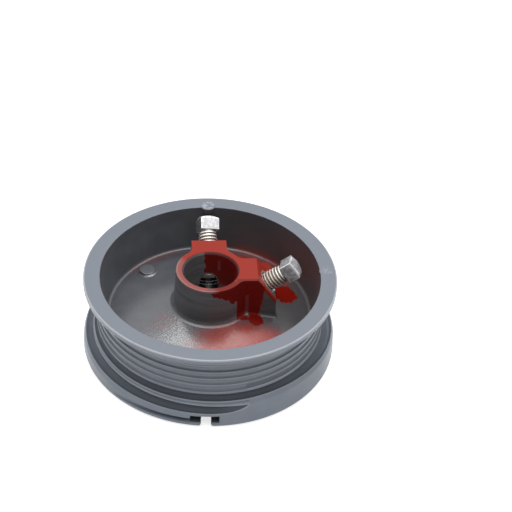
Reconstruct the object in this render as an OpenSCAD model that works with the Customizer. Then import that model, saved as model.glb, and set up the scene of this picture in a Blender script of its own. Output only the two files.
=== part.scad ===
// Garage door cable drum: a die-cast drum with helical cable grooves and two square-head setscrews.
// Millimetres. The shaft axis is Z, the drum stands on its wide flange at Z = 0, and one setscrew points
// along +X, the other along +Y. Turns of the groove are counted clockwise, seen from above, from the
// point where it starts.

/* [Drum] */
// Height of the rim's upper face above the floor
rim_top = 42; // [37:0.5:52]
// How far the rim stands out from the grooved body
rim_w = 6.5; // [4:0.1:10]
// Thickness of the rim
rim_t = 2.8; // [2:0.1:4]
// Height between the last ridge and the rim
rim_gap = 2.7; // [2:0.1:5]
// Round on the outer edges of the rim
rim_round_r = 0.5; // [0.3:0.1:0.8]
// How far the wide flange stands out from the grooved body
flange_w = 7; // [5.5:0.1:10]
// Round on the lower edge of the wide flange
flange_round_r = 2; // [1:0.1:2.5]

/* [Cup] */
// Inner radius of the cup where its wall meets the web
cup_floor_r = 50; // [44:0.5:60]
// Wall between the cup and the ridges of the fine grooves, at the web
floor_wall = 4.5; // [3.5:0.1:6]
// The same wall at the cup's mouth
mouth_wall = 1.5; // [1.3:0.1:3]
// Round between the cup wall and the web
cup_round_r = 1.8; // [1:0.1:3]
// Height of the web's upper face at the cup wall
web_edge_z = 18.4; // [17.5:0.1:21]
// Rise of the web from the cup wall to the hub
web_rise = 6.6; // [4:0.1:8]
// Thickness of the web
web_t = 4; // [3:0.1:5]
// Wall of the wide flange at the floor
flange_wall = 5; // [4:0.1:6]
// Wall between the hollow below and the ridges of the fine grooves, under the web
skirt_wall = 4; // [3.5:0.1:6]

/* [Cable grooves] */
// Number of turns of the groove
groove_turns = 6; // [4:1:8]
// Depth of the fine grooves
fine_depth = 1; // [0.6:0.1:1.2]
// Depth of the first turn of the groove
first_depth = 1.75; // [1.2:0.05:2]
// Height of the flat ridge between two fine grooves
fine_land = 1.2; // [0.8:0.1:1.4]
// Height of the bevelled ridge above the first turn
first_land = 1.9; // [1.5:0.1:2.2]
// Height of the first ridge where the groove starts
first_ridge_z = 12.5; // [11.5:0.1:14]
// How far the first ridge stands out from the fine grooves
first_ridge_rise = 2.8; // [2:0.1:3.5]
// Depth of the bevel on the first ridge
first_bevel = 1.6; // [1:0.1:2]
// How far the flange's crest stays inside the wide flange
crest_inset = 1.1; // [0.9:0.1:2]
// Angle where the groove starts, seen from above
groove_start = -73.5; // [-78:0.5:-67]

/* [Cable slot] */
// Angle of the slot, seen from above
slot_angle = -93.5; // [-95:0.5:-90]
// Width of the slot through the flange
slot_w = 4.6; // [4.4:0.1:5]
// Height of the slot
slot_h = 6.6; // [6:0.1:7]
// Round on the lower corners of the slot
slot_round_r = 1.8; // [1:0.1:2]
// Height of the lip under the pockets beside the slot
pocket_lip = 2.7; // [2:0.1:3.2]
// Width of the pocket on the closed side of the slot
pocket_w = 4; // [3:0.1:5]
// Width of the pocket on the side where the cable leaves
exit_pocket_w = 5.3; // [4:0.1:7]
// Depth of the pockets beside the slot
pocket_depth = 3.6; // [2.5:0.1:4]
// Height of the lead-in groove that runs out of the exit pocket
lead_in_h = 2.4; // [1.5:0.1:3]
// Sideways shift of the lead-in groove's round, which makes it fade out
lead_in_shift = 5; // [4:0.1:6]

/* [Hub] */
// Height of the hub's upper end above the rim
hub_proud = 3; // [1:0.1:6]
// Wall of the hub at its upper end
hub_wall = 3.7; // [3:0.1:5]
// How much wider the hub is at the web, on the radius
hub_draft = 1.2; // [0.5:0.1:2]
// Round between the hub and the web
hub_round_r = 2.5; // [1.5:0.1:3]
// Diameter of the shaft that the drum fits
shaft_d = 25.4; // [19:0.1:32]
// Running clearance of the shaft in the bore, on the diameter
shaft_clearance = 0.4; // [0.2:0.05:0.6]
// Chamfer on both ends of the bore
bore_chamfer = 1; // [0.5:0.1:1.5]

/* [Setscrew lugs] */
// Width of a lug
lug_w = 17; // [15:0.1:18]
// How far a lug's end lies beyond the point where the screw's axis leaves it
lug_lip = 3.4; // [3:0.1:6]
// Round between a lug and the hub, seen from above
lug_round_r = 4.5; // [3:0.1:5]
// Tilt of the setscrews above the horizontal
screw_tilt = 36; // [32:1:39]
// How far outside the hub the screw's axis leaves the lug
mouth_out = 11.4; // [10.9:0.1:13]
// Depth of that point below the hub's upper end
mouth_drop = 7.6; // [7:0.1:8.5]
// Chamfer on the mouth of the tapped hole
mouth_chamfer = 0.8; // [0.3:0.1:1]

/* [Setscrews] */
// Diameter over the thread
screw_d = 9.4; // [9:0.1:9.6]
// Radial clearance of the thread in its hole
thread_clearance = 0.1; // [0.05:0.05:0.2]
// How far the side screw's thread stands out of its lug at rest
side_out = 9.7; // [7:0.1:11]
// How far the rear screw's thread stands out of its lug at rest
rear_out = 7.3; // [7:0.1:11]
// Gap between the point of the deeper screw and the shaft bore at rest
point_gap = 0.3; // [0.2:0.1:1]
// Chamfer on the point
point_chamfer = 1.2; // [0.8:0.1:1.8]
// Length of the neck under the head
neck_l = 0.7; // [0.5:0.1:1.5]
// Diameter of the neck
neck_d = 7.8; // [7:0.1:8.5]
// Width across the flats of the square head
head_w = 9.3; // [9:0.1:10.5]
// Height of the head
head_h = 6.9; // [6:0.1:8]
// Chamfer on the corners of the head
head_chamfer = 1; // [0.6:0.1:1.4]
// How far the flat end of the head stays inside its flats
crown_inset = 0.4; // [0.2:0.1:1]
// Turn of the side screw's head
side_spin = -17; // [-45:1:45]
// Turn of the rear screw's head
rear_spin = 14; // [-45:1:45]

/* [Ejector pads] */
// Diameter of the flat on the pads of the web
web_pad_d = 7.8; // [6:0.1:9]
// Diameter of these pads at their foot, inside the web
web_pad_foot_d = 10.4; // [9:0.1:12]
// Height of the flat above the web, at the middle of the pad
web_pad_h = 1.7; // [1:0.1:2.5]
// Distance of these pads from the cup wall
web_pad_inset = 8.4; // [7.5:0.1:12]
// Angle of the first of the four pads
web_pad_angle = 46; // [40:0.5:50]
// Diameter of the pads at the rim
rim_pad_d = 7.8; // [6:0.1:8]
// How far the side pad stands into the cup
side_pad_bulge = 0.4; // [0.2:0.1:2.5]
// Angle of the side pad
side_pad_angle = 2; // [-10:1:10]
// How far the rear pad stands into the cup
rear_pad_bulge = 2.2; // [0.2:0.1:2.5]
// Angle of the rear pad
rear_pad_angle = 89; // [80:1:100]

/* [Hidden] */

$fn = 96;
EPS = 0.01;
CUT = 5;
columns = 60;

body_r = cup_floor_r + floor_wall;
cup_mouth_r = body_r - mouth_wall;
rim_r = body_r + rim_w;
flange_r = body_r + flange_w;
skirt_r = flange_r - flange_wall;
skirt_top_r = body_r - skirt_wall;
crest_r = flange_r - crest_inset;
// Climb of the groove in one turn
groove_lead = (rim_top - rim_t - rim_gap - first_ridge_z) / groove_turns;
hub_top = rim_top + hub_proud;
bore_r = (shaft_d + shaft_clearance) / 2;
hub_top_r = bore_r + hub_wall;
hub_web_r = hub_top_r + hub_draft;
web_slope = web_rise / (cup_floor_r - hub_web_r);
web_hub_z = web_edge_z + web_rise;
web_pad_r = cup_floor_r - web_pad_inset;
web_pad_angles = [for (k = [0 : 3]) web_pad_angle + 90 * k];
rim_pads = [[side_pad_angle, side_pad_bulge], [rear_pad_angle, rear_pad_bulge]];
lug_angles = [0, 90];

// Turns over which the first ridge runs in to the fine grooves, and its bevel dies out
spiral_turns = 0.55;
bevel_turns = 0.3;
// Turns before the start over which the flange's crest runs in to the first ridge
run_in = [-0.2, -0.02];
// Extra climb of the flange's crest in one turn
crest_climb_h = 1;
// Turns over which the groove opens at its start, and closes at its end
opening_turns = 0.012;
deepening_turns = 0.05;
closing_turns = 0.4;
// Share of the opening that is there at the very start
tip_share = 0.15;
// Places across a groove, and the share of its depth at each
groove_places = [0.16, 0.5, 0.84];
groove_shares = [0.8, 1, 0.8];
groove_rows = len(groove_places) + 2;
// Depth of the bevel on the flange's crest
crest_bevel_w = 0.8;
// Flare of the body into the rim
rim_flare_r = 1.4;
// How far the body runs up into the rim
body_overlap_h = 1.2;

screw_r = screw_d / 2;
hole_r = screw_r + thread_clearance;
mouth_r = hub_top_r + mouth_out;
mouth_z = hub_top - mouth_drop;
lug_reach = mouth_r + lug_lip;
// Distance along the screw's axis from the lug's face to the shaft bore, at the point's upper edge
bore_reach = (mouth_r - bore_r) / cos(screw_tilt);
point_r = screw_r - point_chamfer;
thread_l = min(side_out, rear_out) + bore_reach - point_r * tan(screw_tilt) - point_gap;
corner_r = head_w / sqrt(2);
crown_r = head_w / 2 - crown_inset;
crown_slope = (corner_r - crown_r) / head_chamfer;

function smooth(t) = let (s = min(1, max(0, t))) s * s * (3 - 2 * s);

function mix(a, b, t) = a + (b - a) * t;

function web_z(r) = web_edge_z + (cup_floor_r - r) * web_slope;

// Ridge above the groove after u turns: its upper edge
function run_in_share(u) = 1 - smooth((u - run_in[0]) / (run_in[1] - run_in[0]));

function spiral_share(u) = exp(-max(0, u) / spiral_turns);

function ridge_r(u) =
    let (first_r = body_r + first_ridge_rise * spiral_share(u))
    mix(first_r, crest_r, run_in_share(u));

function ridge_z(u) = first_ridge_z + groove_lead * u + crest_climb_h * min(0, u);

function ridge(u) = [ridge_r(u), ridge_z(u)];

// Lower edge of the same ridge, at the foot of its bevel
function bevel(u) = mix(first_bevel * exp(-max(0, u) / bevel_turns), crest_bevel_w, run_in_share(u));

function land(u) = mix(fine_land, first_land, spiral_share(u));

function lip(u) = ridge(u) + [bevel(u), -land(u)];

// Groove after u turns, from the ridge below it to the lip above it
function groove_depth(u) =
    mix(fine_depth, first_depth, spiral_share(u - 1))
    * smooth(u / deepening_turns) * (1 - smooth((u - groove_turns) / closing_turns + 1));

function opened(u) = 1 - (1 - tip_share) * exp(-u / opening_turns);

function groove(u) =
    let (
        high = lip(u),
        low = mix(high, ridge(u - 1), opened(u)),
        along = high - low,
        inward = [-along[1], along[0]] / norm(along)
    )
    [
        low,
        for (i = [0 : len(groove_places) - 1])
            low + along * groove_places[i] + inward * groove_depth(u) * groove_shares[i],
        high
    ];

// Rows of the body's outside, from the floor up, at a share s of a turn from the start
flange_rows = [
    for (a = [0 : 30 : 90])
        [flange_r - flange_round_r * (1 - sin(a)), flange_round_r * (1 - cos(a))]
];
rim_rows = [
    for (a = [0 : 45 : 90])
        [body_r + rim_flare_r * (1 - cos(a)), rim_top - rim_t - rim_flare_r * (1 - sin(a))]
];
closing_row = [body_r + rim_flare_r, rim_top - rim_t + body_overlap_h];

function body_rows(s) = [
    each flange_rows,
    lip(s - 1),
    for (k = [0 : groove_turns - 1]) each groove(k + s),
    each rim_rows,
    closing_row
];

// Where a row at the end of one turn goes on at the start of the next
row_count = len(flange_rows) + 1 + groove_rows * groove_turns + len(rim_rows) + 1;
first_helix_row = len(flange_rows);
last_helix_row = first_helix_row + groove_rows * groove_turns;

function next_row(i) =
    i < first_helix_row ? i : min(i + groove_rows, max(i, last_helix_row + 1));

function body_point(s, row) =
    let (angle = groove_start - 360 * s)
    [row[0] * cos(angle), row[0] * sin(angle), row[1]];

// Outside of the body: one closed skin, whose rows climb by one turn at the seam
module grooved_body() {
    points = [
        for (j = [0 : columns - 1])
            for (row = body_rows(j / columns)) body_point(j / columns, row)
    ];
    plain_faces = [
        for (j = [0 : columns - 2])
            for (i = [0 : row_count - 2])
                let (a = j * row_count + i, b = a + row_count)
                each [[a, b + 1, a + 1], [a, b, b + 1]]
    ];
    seam = (columns - 1) * row_count;
    seam_faces = [
        for (i = [0 : row_count - 2])
            let (from = next_row(i), to = next_row(i + 1))
            each [
                [seam + i, to, seam + i + 1],
                for (k = [to : -1 : from + 1]) [seam + i, k - 1, k]
            ]
    ];
    floor_face = [for (j = [columns - 1 : -1 : 0]) j * row_count];
    top_face = [for (j = [0 : columns - 1]) j * row_count + row_count - 1];
    polyhedron(points, concat(plain_faces, seam_faces, [floor_face, top_face]), convexity = 10);
}

module rim() {
    rotate_extrude()
        difference() {
            translate([0, rim_top - rim_t])
                square([rim_r, rim_t]);
            for (z = [0, rim_t])
                translate([rim_r - rim_round_r, rim_top - z])
                    mirror([0, z > 0 ? 1 : 0])
                        edge_round(rim_round_r);
        }
}

// What a round takes off an outer corner: the corner square less the round
module edge_round(r) {
    difference() {
        translate([0, -r])
            square(2 * r);
        translate([0, -r])
            circle(r);
    }
}

// Fill of an inner corner at a point, tangent to two faces that have these normals
module corner_fill(point, normal_a, normal_b, r) {
    centre = point + r * (normal_a + normal_b) / (1 + normal_a * normal_b);
    difference() {
        polygon([point, centre - r * normal_a, centre, centre - r * normal_b]);
        translate(centre)
            circle(r);
    }
}

function unit(v) = v / norm(v);

// Left-hand normal of the line from a to b
function left_normal(a, b) = unit([a[1] - b[1], b[0] - a[0]]);

// Section of the cup: its wall, the conical web and the hub with its rounds
cup_corner = [cup_floor_r, web_edge_z];
cup_mouth = [cup_mouth_r, rim_top];
hub_foot = [hub_web_r, web_hub_z];
hub_end = [hub_top_r, hub_top];
web_up = left_normal(hub_foot, cup_corner);

module cup_section() {
    difference() {
        polygon([
            hub_foot,
            cup_corner,
            cup_mouth,
            [cup_mouth_r, hub_top + CUT],
            [hub_top_r, hub_top + CUT],
            hub_end
        ]);
        corner_fill(cup_corner, web_up, left_normal(cup_corner, cup_mouth), cup_round_r);
        corner_fill(hub_foot, web_up, left_normal(hub_end, hub_foot), hub_round_r);
    }
}

// Section of the hollow under the web, between the skirt and the hub
under_foot = hub_foot - [0, web_t];
under_corner = [skirt_top_r, web_z(skirt_top_r) - web_t];
skirt_edge = [skirt_r, 0];
hub_bottom = [hub_top_r, 0];

module under_section() {
    difference() {
        polygon([
            hub_bottom,
            [hub_top_r, -CUT],
            [skirt_r, -CUT],
            skirt_edge,
            under_corner,
            under_foot
        ]);
        corner_fill(under_corner, -web_up, left_normal(skirt_edge, under_corner), cup_round_r);
        corner_fill(under_foot, -web_up, left_normal(under_foot, hub_bottom), hub_round_r);
    }
}

// Plan of a lug along +X, with the rounds where it leaves the hub
module lug_plan() {
    side = lug_w / 2;
    round_x = sqrt(pow(hub_top_r + lug_round_r, 2) - pow(side + lug_round_r, 2));
    translate([0, -side])
        square([lug_reach, lug_w]);
    for (m = [0, 1])
        mirror([0, m])
            difference() {
                polygon([[0, 0], [round_x, 0], [round_x, side + lug_round_r]]);
                translate([round_x, side + lug_round_r])
                    circle(lug_round_r);
            }
}

// Puts what is drawn along +Z on the axis of the screw in the lug along +X, with Z = 0 at the lug's face
module on_screw_axis() {
    translate([mouth_r, 0, mouth_z])
        rotate([0, 90 - screw_tilt, 0])
            children();
}

module lug() {
    low = web_z(lug_reach) - web_t / 2;
    difference() {
        translate([0, 0, low])
            linear_extrude(hub_top - low)
                lug_plan();
        on_screw_axis()
            translate([-lug_reach, -lug_w, 0])
                cube([2 * lug_reach, 2 * lug_w, lug_reach]);
    }
}

module tapped_hole() {
    on_screw_axis() {
        translate([0, 0, -bore_reach - hole_r])
            cylinder(r = hole_r, h = bore_reach + hole_r + CUT);
        translate([0, 0, -mouth_chamfer])
            cylinder(r1 = hole_r, r2 = hole_r + mouth_chamfer + EPS, h = mouth_chamfer + EPS);
    }
}

module shaft_bore() {
    translate([0, 0, -CUT])
        cylinder(r = bore_r, h = hub_top + 2 * CUT);
    for (end = [0, 1])
        translate([0, 0, end * hub_top])
            mirror([0, 0, 1 - end])
                translate([0, 0, -bore_chamfer])
                    cylinder(r1 = bore_r, r2 = bore_r + bore_chamfer + EPS, h = bore_chamfer + EPS);
}

// Slot through the flange, drawn at -Y and open to the floor, with its pockets and the lead-in groove
module slot_section() {
    half = slot_w / 2;
    translate([-half, -CUT])
        square([slot_w, slot_h + CUT]);
    for (m = [0, 1])
        mirror([m, 0])
            difference() {
                translate([0, -CUT])
                    square([half + slot_round_r, slot_round_r + CUT]);
                translate([half + slot_round_r, slot_round_r])
                    circle(slot_round_r);
            }
}

module cable_slot() {
    far = flange_r + CUT;
    translate([0, CUT - skirt_top_r, 0])
        rotate([90, 0, 0])
            linear_extrude(far - skirt_top_r + CUT)
                slot_section();
    translate([-slot_w / 2 - exit_pocket_w, -far, pocket_lip])
        cube([exit_pocket_w + slot_w + pocket_w, pocket_depth + CUT, slot_h - pocket_lip]);
    translate([0, 0, pocket_lip])
        intersection() {
            difference() {
                cylinder(r = far, h = lead_in_h);
                translate([-lead_in_shift, 0, -CUT])
                    cylinder(r = flange_r - pocket_depth, h = lead_in_h + 2 * CUT);
            }
            translate([-far, -far, -CUT])
                cube([far, far, lead_in_h + 2 * CUT]);
        }
}

module ejector_pads() {
    for (a = web_pad_angles)
        rotate(a)
            translate([web_pad_r, 0, web_z(web_pad_r) - web_t / 2])
                cylinder(d1 = web_pad_foot_d, d2 = web_pad_d, h = web_t / 2 + web_pad_h);
    for (pad = rim_pads)
        rotate(pad[0])
            translate([cup_mouth_r - pad[1] + rim_pad_d / 2, 0, rim_top - rim_t])
                cylinder(d = rim_pad_d, h = rim_t);
}

module drum() {
    color([0.45, 0.47, 0.5])
        difference() {
            union() {
                difference() {
                    union() {
                        grooved_body();
                        rim();
                        translate([0, 0, rim_top - rim_t])
                            cylinder(r = hub_web_r + CUT, h = hub_proud + rim_t);
                    }
                    rotate_extrude()
                        cup_section();
                }
                for (a = lug_angles)
                    rotate(a)
                        lug();
                ejector_pads();
            }
            rotate_extrude()
                under_section();
            shaft_bore();
            for (a = lug_angles)
                rotate(a)
                    tapped_hole();
            rotate(slot_angle + 90)
                cable_slot();
        }
}

// Square-head setscrew along +Z, with the lug's face at Z = 0, its thread out by this much, its head turned
module setscrew(out, spin) {
    color([0.75, 0.75, 0.73]) {
        rotate_extrude()
            polygon([
                [0, out - thread_l],
                [point_r, out - thread_l],
                [screw_r, out - thread_l + point_chamfer],
                [screw_r, out - neck_l],
                [neck_d / 2, out - neck_l],
                [neck_d / 2, out + head_h / 2],
                [0, out + head_h / 2]
            ]);
        translate([0, 0, out])
            rotate(spin)
                intersection() {
                    translate([-head_w / 2, -head_w / 2, 0])
                        cube([head_w, head_w, head_h]);
                    rotate_extrude()
                        polygon([
                            [0, -CUT],
                            [corner_r + crown_slope * CUT, -CUT],
                            [corner_r + crown_slope * CUT, head_h - head_chamfer - CUT],
                            [crown_r, head_h],
                            [0, head_h]
                        ]);
                }
    }
}

module side_setscrew() {
    rotate(lug_angles[0])
        on_screw_axis()
            setscrew(side_out, side_spin);
}

module rear_setscrew() {
    rotate(lug_angles[1])
        on_screw_axis()
            setscrew(rear_out, rear_spin);
}

drum();
side_setscrew();
rear_setscrew();
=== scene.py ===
"""Garage door cable drum: a die-cast drum, marked in red, with two zinc-plated setscrews.

Sizes are in millimetres and follow the part's source. Meshes are scaled to metres when they are made.
Angles are in degrees, anticlockwise from +X, which points along the side lug.
"""

import math

import bmesh
import bpy
import numpy as np
from mathutils import Matrix, Vector


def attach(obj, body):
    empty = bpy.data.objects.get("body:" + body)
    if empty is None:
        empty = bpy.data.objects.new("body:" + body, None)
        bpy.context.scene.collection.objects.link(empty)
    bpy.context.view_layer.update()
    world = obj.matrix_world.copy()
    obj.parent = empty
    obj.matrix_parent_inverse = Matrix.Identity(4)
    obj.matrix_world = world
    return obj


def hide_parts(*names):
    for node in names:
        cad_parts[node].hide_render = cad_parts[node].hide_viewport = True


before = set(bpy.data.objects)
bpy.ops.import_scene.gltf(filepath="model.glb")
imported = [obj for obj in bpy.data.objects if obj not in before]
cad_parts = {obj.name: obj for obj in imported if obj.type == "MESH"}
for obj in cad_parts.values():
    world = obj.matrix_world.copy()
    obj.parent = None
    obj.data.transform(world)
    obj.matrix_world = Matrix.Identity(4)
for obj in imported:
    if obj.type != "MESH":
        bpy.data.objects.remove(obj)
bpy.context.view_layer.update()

MM = 0.001
CUT = 5.0  # how far a cutter stands out of what it cuts

# Drum, cup and hub
RIM_TOP, RIM_R, RIM_T, RIM_ROUND = 42.0, 61.0, 2.8, 0.5
FLANGE_R, FLANGE_ROUND = 61.47, 2.0  # a hair inside the solid's flange
CUP_MOUTH_R, CUP_FLOOR_R, CUP_ROUND, MOUTH_ROUND = 53.0, 50.0, 1.8, 0.4
WEB_EDGE_Z, WEB_RISE, WEB_T = 18.4, 6.6, 4.0
SKIRT_R, SKIRT_TOP_R = 56.5, 50.5
HUB_TOP, HUB_TOP_R, HUB_WEB_R, HUB_ROUND = 45.0, 16.6, 17.8, 2.5
BORE_R, BORE_CHAMFER = 12.9, 1.0
WEB_SLOPE = WEB_RISE / (CUP_FLOOR_R - HUB_WEB_R)
EDGE_ROUND = 0.4

# Cable groove
BODY_R, GROOVE_LEAD, GROOVE_TURNS = 54.5, 4.0, 6
FINE_DEPTH, FIRST_DEPTH, FINE_LAND, FIRST_LAND = 1.0, 1.75, 1.2, 1.9
FIRST_RIDGE_Z, FIRST_RIDGE_RISE, FIRST_BEVEL = 12.5, 2.8, 1.6
CREST_R, CREST_BEVEL, CREST_CLIMB = 60.4, 0.8, 1.0
GROOVE_START = -73.5
# Turns over which the groove spirals in, loses its bevel, runs in, opens, deepens and closes
SPIRAL_TURNS, BEVEL_TURNS, RUN_IN = 0.55, 0.3, (-0.2, -0.02)
OPENING_TURNS, DEEPENING_TURNS, CLOSING_TURNS, TIP_SHARE = 0.012, 0.05, 0.4, 0.15
GROOVE_SQUARENESS, GROOVE_STEPS, RIDGE_ROUND = 4.0, 9, 0.3
RIM_FLARE, CREST_FADE = 1.4, (0.81, 0.06)
COLUMNS = 360

# Cable slot in the flange
SLOT_ANGLE, SLOT_W, SLOT_H, SLOT_ROUND = -93.5, 4.6, 6.6, 3.2
POCKET_LIP, POCKET_W, EXIT_POCKET_W, POCKET_DEPTH = 2.7, 4.0, 5.3, 3.6
LEAD_IN_H, LEAD_IN_SHIFT, LEAD_IN_STEP = 2.4, 5.0, 0.02

# Lugs and setscrews
LUG_ANGLES = {"side": 0.0, "rear": 90.0}
LUG_W, LUG_REACH, LUG_ROUND, LUG_FOOT_ROUND = 17.0, 31.4, 4.5, 1.6
SCREW_TILT = math.radians(36.0)
MOUTH_R, MOUTH_Z, MOUTH_CHAMFER = 28.0, 37.4, 0.8
SCREW_R, HOLE_R, THREAD_PITCH, THREAD_DEPTH = 4.7, 4.8, 1.5875, 0.95
SCREW_OUT = {"side": 9.7, "rear": 7.3}
SCREW_SPIN = {"side": -17.0, "rear": 14.0}
POINT_GAP, POINT_CHAMFER, RUN_OUT_L, RUN_OUT_SLOPE = 0.3, 1.2, 3.2, 0.16
NECK_L, NECK_R, NECK_OVERLAP = 0.7, 3.9, 1.0
HEAD_W, HEAD_H, HEAD_CHAMFER, HEAD_CORNER = 9.3, 6.9, 1.0, 0.35
CROWN_INSET, CROWN_ROUND, CROWN_DROP = 0.4, 0.4, 0.05
# Rounds of the head's two ends: how far in, and how far from the end
HEAD_FOOT = ((0.25, 0), (0.06, 0.08), (0, 0.25))
HEAD_END = ((0, 0.3), (0.06, 0.12), (0.22, 0.02))

# Ejector pads
WEB_PAD_R, WEB_PAD_H, WEB_PAD_ROUND, WEB_PAD_AT = 3.9, 1.7, 0.3, (41.6, 46.0)
WEB_PAD_FOOT, WEB_PAD_INSET, WEB_PAD_SLOPE = 5.4, 0.2, math.radians(22.0)
RIM_PAD_R, RIM_PAD_H, RIM_PAD_ROUND, RIM_PAD_LIFT = 3.9, 0.06, 0.25, 0.05
RIM_PADS = ((2.0, 0.4), (89.0, 2.2))  # angle, and how far the pad stands into the cup

# Radii between which the hub's red top ends in the bore's chamfer, and the side on which that top is worn
RED_EDGE = (BORE_R + BORE_CHAMFER - 0.35, BORE_R + BORE_CHAMFER - 0.15)
WORN_SIDE = (-0.843, -0.537)

# Colours, linear
# The rim's top colour is painted shade: a darker copy of the skin for the up-facing rim, which takes more
# light.
SKIN, SKIN_PATCH, RIM_FACE_SHADED = (0.218, 0.247, 0.294), (0.241, 0.272, 0.32), (0.186, 0.207, 0.242)
# The chips are real wear; the rim-edge colour is a painted highlight on the rim's outer top edge.
CHIPPED, RIM_EDGE_HIGHLIGHT = (0.45, 0.46, 0.5), (0.5, 0.52, 0.56)
# Painted shade for the groove's floors, painted highlight for the ridges' edges and painted shadow for the
# slot's pockets.
GROOVE_SHADE, RIDGE_HIGHLIGHT, POCKET_SHADOW = (0.07, 0.08, 0.095), (0.36, 0.385, 0.43), (0.02, 0.021, 0.023)
# The shade colours of the web, the cup's wall and the hub are painted shade.
WEB, WEB_PATCH, WEB_SHADE = (0.083, 0.089, 0.101), (0.099, 0.105, 0.118), (0.06, 0.055, 0.055)
CUP, CUP_PATCH, CUP_SHADE = (0.098, 0.103, 0.116), (0.122, 0.128, 0.142), (0.05, 0.05, 0.052)
HUB, HUB_STREAK, HUB_SHADE = (0.125, 0.127, 0.134), (0.17, 0.173, 0.182), (0.05, 0.05, 0.05)
# The runs' darker red is partly painted shade, for the dim front of the hub and the bore; the puddles and
# the blob on the web share it.
RED, RED_RUN_SHADED = (0.31, 0.022, 0.01), (0.17, 0.007, 0.004)
# The chamfer colour is painted shade: the bore's chamfer made nearly black.
RED_WORN, CHAMFER_SHADE = (0.3, 0.2, 0.19), (0.03, 0.012, 0.011)
# The hole colour is painted shade in the tapped holes, and the crest colour paints highlights on their
# threads; the bare metal is real.
HOLE_SHADE, HOLE_CREST_HIGHLIGHT, BARE_METAL = (0.02, 0.02, 0.02), (0.6, 0.57, 0.54), (0.8, 0.82, 0.86)
ZINC_DULL, ZINC, ZINC_WORN = (0.26, 0.26, 0.262), (0.44, 0.44, 0.455), (0.7, 0.7, 0.72)
# The root colour is painted shade in the screw thread's grooves.
THREAD, THREAD_ROOT_SHADE = (0.95, 0.89, 0.82), (0.07, 0.06, 0.05)
FLOOR, DIM_WORLD, WHITE = (0.8, 0.8, 0.8), (0.27, 0.27, 0.28), (1, 1, 1)

# Floor, in metres
FLOOR_HALF, FLOOR_DROP, FLOOR_GLOW = 3.0, 0.0002, 0.7


# Meshes

def web_z(r):
    return WEB_EDGE_Z + (CUP_FLOOR_R - r) * WEB_SLOPE


def smooth(t):
    t = np.clip(t, 0, 1)
    return t * t * (3 - 2 * t)


def mix(a, b, t):
    return a + (b - a) * t


def new_object(name, points, faces, sharp=35.0):
    """Mesh object from points in millimetres."""
    mesh = bpy.data.meshes.new(name)
    mesh.from_pydata((np.asarray(points, float) * MM).tolist(), [], faces)
    mesh.validate()
    return link_mesh(name, mesh, sharp)


def link_mesh(name, mesh, sharp=35.0):
    """Smooth-shaded object whose edges over an angle in degrees stay sharp."""
    mesh.polygons.foreach_set("use_smooth", np.ones(len(mesh.polygons), bool))
    mesh.set_sharp_from_angle(angle=math.radians(sharp))
    obj = bpy.data.objects.new(name, mesh)
    bpy.context.scene.collection.objects.link(obj)
    return obj


def arc(centre, radius, start, end, steps):
    """Points of a circular arc, angles in degrees."""
    a = np.radians(np.linspace(start, end, steps))
    return [(centre[0] + radius * math.cos(t), centre[1] + radius * math.sin(t)) for t in a]


def rounded(points, radii, steps=5):
    """Polyline with a round in place of each corner that has a radius."""
    out = []
    for i, (p, radius) in enumerate(zip(points, radii)):
        if not radius:
            out.append(p)
            continue
        p = Vector(p)
        a = (Vector(points[i - 1]) - p).normalized()
        b = (Vector(points[(i + 1) % len(points)]) - p).normalized()
        half = a.angle(b) / 2
        reach = radius / math.tan(half)
        centre = p + (a + b).normalized() * (radius / math.sin(half))
        start, end = p + a * reach - centre, p + b * reach - centre
        turn = start.angle_signed(end)
        for t in np.linspace(0, 1, steps):
            v = start.copy()
            v.rotate(Matrix.Rotation(-turn * t, 2))
            out.append(tuple(centre + v))
    return out


def revolve(name, section, columns):
    """Solid of revolution from a section of (r, z) whose ends lie on the axis."""
    n = len(section)
    angles = np.arange(columns) * 2 * math.pi / columns
    points = [(r * math.cos(a), r * math.sin(a), z) for a in angles for r, z in section]
    faces = []
    for j in range(columns):
        k = (j + 1) % columns
        for i in range(n - 1):
            faces.append((j * n + i, k * n + i, k * n + i + 1, j * n + i + 1))
    obj = new_object(name, points, faces)
    merge_close(obj)
    return obj


def merge_close(obj, dist=1e-4):
    """Merges points closer than a distance and turns every face outward."""
    bm = bmesh.new()
    bm.from_mesh(obj.data)
    bmesh.ops.remove_doubles(bm, verts=bm.verts, dist=dist * MM)
    bmesh.ops.dissolve_degenerate(bm, edges=bm.edges, dist=dist * MM)
    bmesh.ops.recalc_face_normals(bm, faces=bm.faces)
    bm.to_mesh(obj.data)
    bm.free()


def prism(name, outline, low, high):
    """Upright prism over an outline."""
    n = len(outline)
    points = [(x, y, low) for x, y in outline] + [(x, y, high) for x, y in outline]
    faces = [(i, (i + 1) % n, n + (i + 1) % n, n + i) for i in range(n)]
    faces += [tuple(range(n - 1, -1, -1)), tuple(range(n, 2 * n))]
    return new_object(name, points, faces)


def subtract(obj, *cutters):
    """Cuts the cutters out of an object and deletes them."""
    for cutter in cutters:
        cut = obj.modifiers.new("cut", "BOOLEAN")
        cut.operation, cut.solver, cut.object = "DIFFERENCE", "EXACT", cutter
        bake(obj)
        bpy.data.objects.remove(cutter)
    merge_close(obj)


def bake(obj):
    """Applies an object's modifiers."""
    bpy.context.view_layer.update()
    mesh = bpy.data.meshes.new_from_object(obj.evaluated_get(bpy.context.evaluated_depsgraph_get()))
    obj.modifiers.clear()
    obj.data = mesh


def flatten_shading(obj):
    """Weights normals by face area, so that flat faces look flat beside their rounds."""
    obj.modifiers.new("weigh", "WEIGHTED_NORMAL").keep_sharp = True
    bake(obj)


def place(obj, matrix):
    """Moves an object's mesh; the matrix is in millimetres."""
    matrix = matrix.copy()
    matrix.translation *= MM
    obj.data.transform(matrix)
    return obj


def about_z(degrees):
    return Matrix.Rotation(math.radians(degrees), 4, "Z")


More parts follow.
